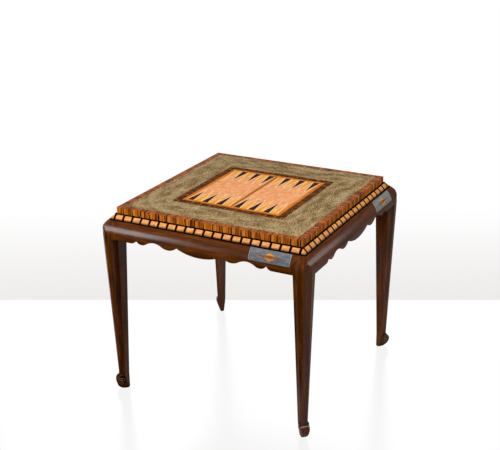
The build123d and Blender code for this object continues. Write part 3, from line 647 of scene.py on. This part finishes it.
dress = {
    "top_core": poplar, "subtop_panel": poplar, "bead_core": poplar, "corner_braces": poplar,
    "glue_strips": poplar, "drawer_guides": poplar, "drawer_stops": poplar,
    "field_veneer": khaki, "board_band": rosewood, "board_line": padauk, "board_ground": ground,
    "board_bar": bar_wood, "points_dark": walnut, "points_amber": satinwood, "points_stringing": holly,
    "upper_fillet": ebonised, "lower_fillet": ebonised, "bead_bars": ebonised, "bead_blocks": block_wood,
}
for side in SIDES:
    dress[f"edge_lipping_{side}"] = edge_wood
    dress[f"apron_{side}"] = mahogany[ALONG[side]]
    dress[f"drawer_front_{side}"] = mahogany[ALONG[side]]
    dress[f"drawer_sides_{side}"] = oak[ACROSS[side]]
    dress[f"drawer_back_{side}"] = oak[ALONG[side]]
    dress[f"drawer_bottom_{side}"] = oak[ALONG[side]]
    dress[f"plaque_field_{side}"] = dyed[ALONG[side]]
    dress[f"plaque_strings_{side}"] = pale_dyed[ALONG[side]]
    dress[f"plaque_motif_{side}"] = plaque_inlay(f"amber_and_brown_inlay_{side}", ALONG[side], side)
for corner in CORNERS:
    dress[f"leg_{corner}"] = leg_wood
for name, material in dress.items():
    plain_material(nodes[name].data, material)

for corner in CORNERS:
    softened(f"leg_{corner}", leg_wood, LEG_ARRIS, "table")
for side in SIDES:
    softened(f"apron_{side}", mahogany[ALONG[side]], LEG_ARRIS, "table")
    softened(f"edge_lipping_{side}", edge_wood, EDGE_ARRIS, "table")
softened("bead_blocks", block_wood, BLOCK_ARRIS, "table")
carve_scrolls("scroll_ridges", ridge_highlight_wood, RIDGE_START, RIDGE_RADIUS, EYE_RADIUS)
carve_scrolls("scroll_grooves", groove_shade, GROOVE_START, GROOVE_RADIUS, GROOVE_RADIUS)
drive_screws(screw_steel())


def place_camera():
    """Camera at the photograph's place, turned by its azimuth, elevation and roll."""
    azimuth, elevation, roll = (math.radians(v) for v in (CAMERA_AZIMUTH, CAMERA_ELEVATION, CAMERA_ROLL))
    back = Vector((math.sin(azimuth) * math.cos(elevation), -math.cos(azimuth) * math.cos(elevation),
                   math.sin(elevation)))
    right = (-back).cross(Vector((0, 0, 1))).normalized()
    up = right.cross(-back)
    turned_right = right * math.cos(roll) + up * math.sin(roll)
    turned_up = up * math.cos(roll) - right * math.sin(roll)
    data = bpy.data.cameras.new("camera")
    data.lens = CAMERA_LENS
    data.sensor_width = CAMERA_SENSOR
    camera = bpy.data.objects.new("camera", data)
    bpy.context.scene.collection.objects.link(camera)
    turn = Matrix((turned_right, turned_up, back)).transposed().to_4x4()
    camera.matrix_world = Matrix.Translation(Vector(CAMERA_PLACE)) @ turn
    bpy.context.scene.camera = camera


def make_floor():
    """What the camera sees: white paper, and painted shade behind it, a grey band that fades to white.
    What light meets: a grey floor that is dark in front."""
    half = FLOOR_HALF
    mesh = bpy.data.meshes.new("floor")
    corners = [(-half, -half, 0), (half, -half, 0), (half, half, 0), (-half, half, 0)]
    mesh.from_pydata(corners, [], [(0, 1, 2, 3)])
    floor = bpy.data.objects.new("floor", mesh)
    bpy.context.scene.collection.objects.link(floor)
    material, tree, output, place = new_material("studio_paper")
    turn = math.radians(PAPER_AZIMUTH)
    depth = add(tree, "ShaderNodeVectorMath", {
        0: place, 1: (-math.sin(turn), math.cos(turn), 0.0)}, operation="DOT_PRODUCT").outputs["Value"]
    share = add(tree, "ShaderNodeMapRange", {
        "Value": depth, "From Min": PAPER_BACK, "From Max": PAPER_FADE}).outputs[0]
    # Painted shade: a grey band behind the line, fading to white further back
    grey = colour_ramp(tree, share, ((0.0, "#EAE9E6"), (0.2, "#EEEDEB"), (0.43, "#F4F3F2"), (0.7, "#FAFAFA"),
                                     (1.0, "#FFFFFF")))
    behind = add(tree, "ShaderNodeMath", {0: depth, 1: PAPER_BACK}, operation="GREATER_THAN").outputs[0]
    seen_colour = add(tree, "ShaderNodeMix", {
        0: behind, 6: linear("#FFFFFF"), 7: grey}, data_type="RGBA").outputs[2]
    turn = math.radians(DARK_AZIMUTH)
    reach = add(tree, "ShaderNodeVectorMath", {
        0: place, 1: (math.sin(turn), -math.cos(turn), 0.0)}, operation="DOT_PRODUCT").outputs["Value"]
    in_front = add(tree, "ShaderNodeMath", {0: reach, 1: DARK_EDGE}, operation="GREATER_THAN").outputs[0]
    real_colour = add(tree, "ShaderNodeMix", {
        0: in_front, 6: linear("#A0A0A0"), 7: linear("#1C1C1C")}, data_type="RGBA").outputs[2]
    bare = add(tree, "ShaderNodeBsdfDiffuse", {"Color": real_colour})
    glow = add(tree, "ShaderNodeEmission", {"Color": seen_colour, "Strength": 1.0})
    shade = add(tree, "ShaderNodeBsdfDiffuse", {"Color": linear("#303030")})
    sheen = add(tree, "ShaderNodeBsdfGlossy", {"Color": linear("#FFFFFF"), "Roughness": 0.22})
    lit = add(tree, "ShaderNodeAddShader", {0: glow.outputs[0], 1: shade.outputs[0]})
    polish = add(tree, "ShaderNodeMath", {
        0: behind, 1: -PAPER_POLISH, 2: PAPER_POLISH}, operation="MULTIPLY_ADD").outputs[0]
    glossy = add(tree, "ShaderNodeMixShader", {0: polish, 1: lit.outputs[0], 2: sheen.outputs[0]})
    seen = add(tree, "ShaderNodeLightPath").outputs["Is Camera Ray"]
    mixed = add(tree, "ShaderNodeMixShader", {0: seen, 1: bare.outputs[0], 2: glossy.outputs[0]})
    tree.links.new(mixed.outputs[0], output.inputs["Surface"])
    mesh.materials.append(material)


def make_white_sheet():
    """White sheet hung behind the table, out of the camera's sight, for polished surfaces to mirror."""
    mesh = bpy.data.meshes.new("white_sheet")
    mesh.from_pydata([(-SHEET_HALF, 0, 0), (SHEET_HALF, 0, 0), (SHEET_HALF, 0, SHEET_HEIGHT),
                      (-SHEET_HALF, 0, SHEET_HEIGHT)], [], [(0, 1, 2, 3)])
    sheet = bpy.data.objects.new("white_sheet", mesh)
    bpy.context.scene.collection.objects.link(sheet)
    turn = math.radians(CAMERA_AZIMUTH)
    sheet.location = (-math.sin(turn) * SHEET_DISTANCE, math.cos(turn) * SHEET_DISTANCE, 0)
    sheet.rotation_euler = (0, 0, turn)
    sheet.visible_camera = False
    sheet.visible_diffuse = False
    sheet.visible_shadow = False
    material, tree, output, _ = new_material("white_sheet")
    glow = add(tree, "ShaderNodeEmission", {"Color": linear("#FFFFFF"), "Strength": 1.0})
    tree.links.new(glow.outputs[0], output.inputs["Surface"])
    mesh.materials.append(material)


def make_world():
    """Even white fill for matt surfaces, a dark room for reflections, and a white backdrop for the camera."""
    world = bpy.data.worlds.new("studio")
    bpy.context.scene.world = world
    world.use_nodes = True
    tree = world.node_tree
    tree.nodes.clear()
    output = add(tree, "ShaderNodeOutputWorld")
    path = add(tree, "ShaderNodeLightPath").outputs
    seen = add(tree, "ShaderNodeMath", {
        0: path["Is Camera Ray"], 1: path["Is Transmission Ray"]}, operation="MAXIMUM")
    fill = add(tree, "ShaderNodeBackground", {"Color": linear("#FFFFFF"), "Strength": FILL_STRENGTH})
    room = add(tree, "ShaderNodeBackground", {"Color": linear("#FFFFFF"), "Strength": ROOM_STRENGTH})
    backdrop = add(tree, "ShaderNodeBackground", {"Color": linear("#FFFFFF"), "Strength": BACKDROP_STRENGTH})
    unseen = add(tree, "ShaderNodeMixShader", {
        0: path["Is Glossy Ray"], 1: fill.outputs[0], 2: room.outputs[0]})
    mixed = add(tree, "ShaderNodeMixShader", {
        0: seen.outputs[0], 1: unseen.outputs[0], 2: backdrop.outputs[0]})
    tree.links.new(mixed.outputs[0], output.inputs["Surface"])


def add_softbox(name, place, target, width, height, power, mirrored):
    """Rectangular softbox, seen in polished surfaces or not."""
    data = bpy.data.lights.new(name, "AREA")
    data.shape = "RECTANGLE"
    data.size = width
    data.size_y = height
    data.energy = power
    lamp = bpy.data.objects.new(name, data)
    bpy.context.scene.collection.objects.link(lamp)
    lamp.location = place
    lamp.rotation_euler = (Vector(target) - Vector(place)).to_track_quat("-Z", "Y").to_euler()
    lamp.visible_glossy = mirrored


place_camera()
make_floor()
make_white_sheet()
make_world()
bpy.context.scene.view_settings.view_transform = "Standard"
for name, (place, width, height, power, mirrored) in SOFTBOXES.items():
    add_softbox(name, place, MIDDLE, width, height, power, mirrored)
